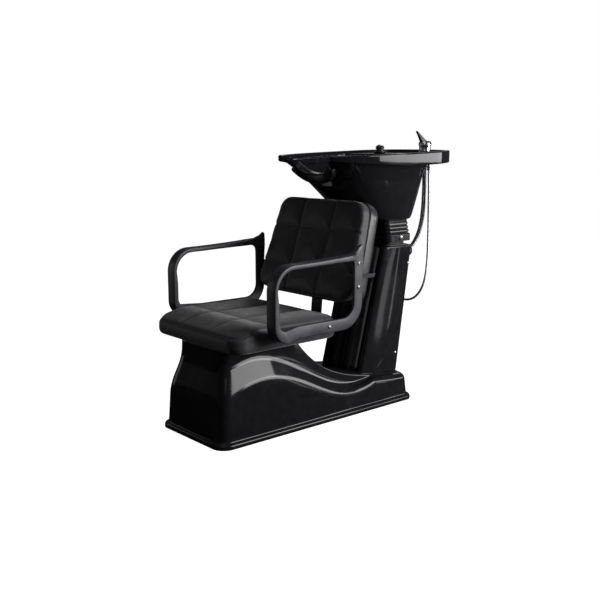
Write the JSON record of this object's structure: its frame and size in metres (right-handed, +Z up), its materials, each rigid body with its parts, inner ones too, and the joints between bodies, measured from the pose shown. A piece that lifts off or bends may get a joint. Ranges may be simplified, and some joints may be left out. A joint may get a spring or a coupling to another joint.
{
  "type": "shampoo backwash unit",
  "caption": "Salon hair-washing unit: padded chair with loop armrests on a moulded base, and a tilting basin with tap and hand shower on a rear column.",
  "frame": {"origin": "on the floor, midway across and along the whole unit", "axes": "+Z up; the chair faces -Y and the basin stands at +Y; +X is the seated client's left-hand side seen from behind, the side with the mixer tap"},
  "size_m": [0.625, 1.146, 1.0402],
  "materials": {
    "base_gloss": "high-gloss black moulding",
    "basin_gloss": "high-gloss black moulded basin",
    "seat_leather": "soft black leatherette with a fine grain",
    "arm_plastic": "black, fine moulded texture",
    "shell_plastic": "satin black moulding",
    "black_rubber": "satin black rubber",
    "frame_steel": "black powder coat",
    "bolt_steel": "bright zinc-plated steel",
    "chrome": "polished chrome",
    "brass": "turned brass",
    "pipe_plastic": "light grey moulded pipe",
    "shower_plastic": "semi-gloss black moulding",
    "spray_plastic": "grey soft plastic",
    "cartridge_plastic": "cream moulded valve cartridge",
    "steel_hose": "bright wound steel jacket",
    "braided_hose": "dark rubber hose under a fine steel braid",
    "pan_plywood": "black-stained plywood"
  },
  "bodies": {
    "stand": {"base_shell": "base_gloss", "base_frame": "frame_steel", "floor_pads": "black_rubber", "seat_pedestal": "frame_steel", "seat_mount_plate": "frame_steel", "seat_bolts": "bolt_steel", "seat_pan": "pan_plywood", "seat_cushion": "seat_leather", "back_shell": "shell_plastic", "back_cushion": "seat_leather", "back_support": "frame_steel", "back_brackets": "frame_steel", "left_armrest": "arm_plastic", "right_armrest": "arm_plastic", "armrest_spacers": "frame_steel", "armrest_screws": "bolt_steel", "column_shell": "base_gloss", "column_cover": "base_gloss", "cover_screws": "bolt_steel", "column_posts": "frame_steel", "hose_grommet": "black_rubber", "neck_boot": "black_rubber", "pivot_bracket": "frame_steel", "pivot_bolts": "bolt_steel", "service_plate": "frame_steel", "water_inlets": "brass", "waste_outlet": "pipe_plastic", "waste_hose": "pipe_plastic", "supply_hose_hot": "braided_hose", "supply_hose_cold": "braided_hose"},
    "basin": {"basin": "basin_gloss", "basin_collar": "shell_plastic", "basin_bracket": "frame_steel", "neck_rest": "black_rubber", "drain_flange": "chrome", "drain_nut": "pipe_plastic", "drain_tailpiece": "pipe_plastic", "shower_holder": "shower_plastic", "mixer_base": "chrome", "mixer_body": "chrome", "mixer_cartridge": "cartridge_plastic", "mixer_locknut": "brass", "supply_nuts": "brass", "shower_hose": "steel_hose", "outlet_ferrule": "chrome"},
    "strainer": {"hair_strainer": "bolt_steel"},
    "hand_shower": {"shower_handle": "shower_plastic", "shower_head": "shower_plastic", "spray_face": "spray_plastic", "handle_ferrule": "chrome"},
    "tap_cap": {"mixer_cap": "chrome", "lever_screw": "bolt_steel"},
    "tap_lever": {"mixer_lever": "shower_plastic"}
  },
  "joints": [
    {"name": "basin_tilt", "type": "hinge", "parent": "stand", "child": "basin", "pos_m": [0, 0.345, 0.633], "axis": [1, 0, 0], "range_deg": [-10, 1.5], "deforming": ["supply_hose_hot", "supply_hose_cold", "waste_hose"]},
    {"name": "tap_swivel", "type": "hinge", "parent": "basin", "child": "tap_cap", "pos_m": [0.1, 0.489, 0.98], "axis": [0, 0, 1], "range_deg": [-45, 45]},
    {"name": "tap_lift", "type": "hinge", "parent": "tap_cap", "child": "tap_lever", "pos_m": [0.1, 0.493, 0.9985], "axis": [-1, 0, 0], "range_deg": [0, 25]},
    {"name": "shower_lift", "type": "slide", "parent": "basin", "child": "hand_shower", "axis": [0, 0, 1], "range_m": [0, 0.12]},
    {"name": "strainer_lift", "type": "slide", "parent": "basin", "child": "strainer", "axis": [0, 0, 1], "range_m": [0, 0.03]}
  ]
}
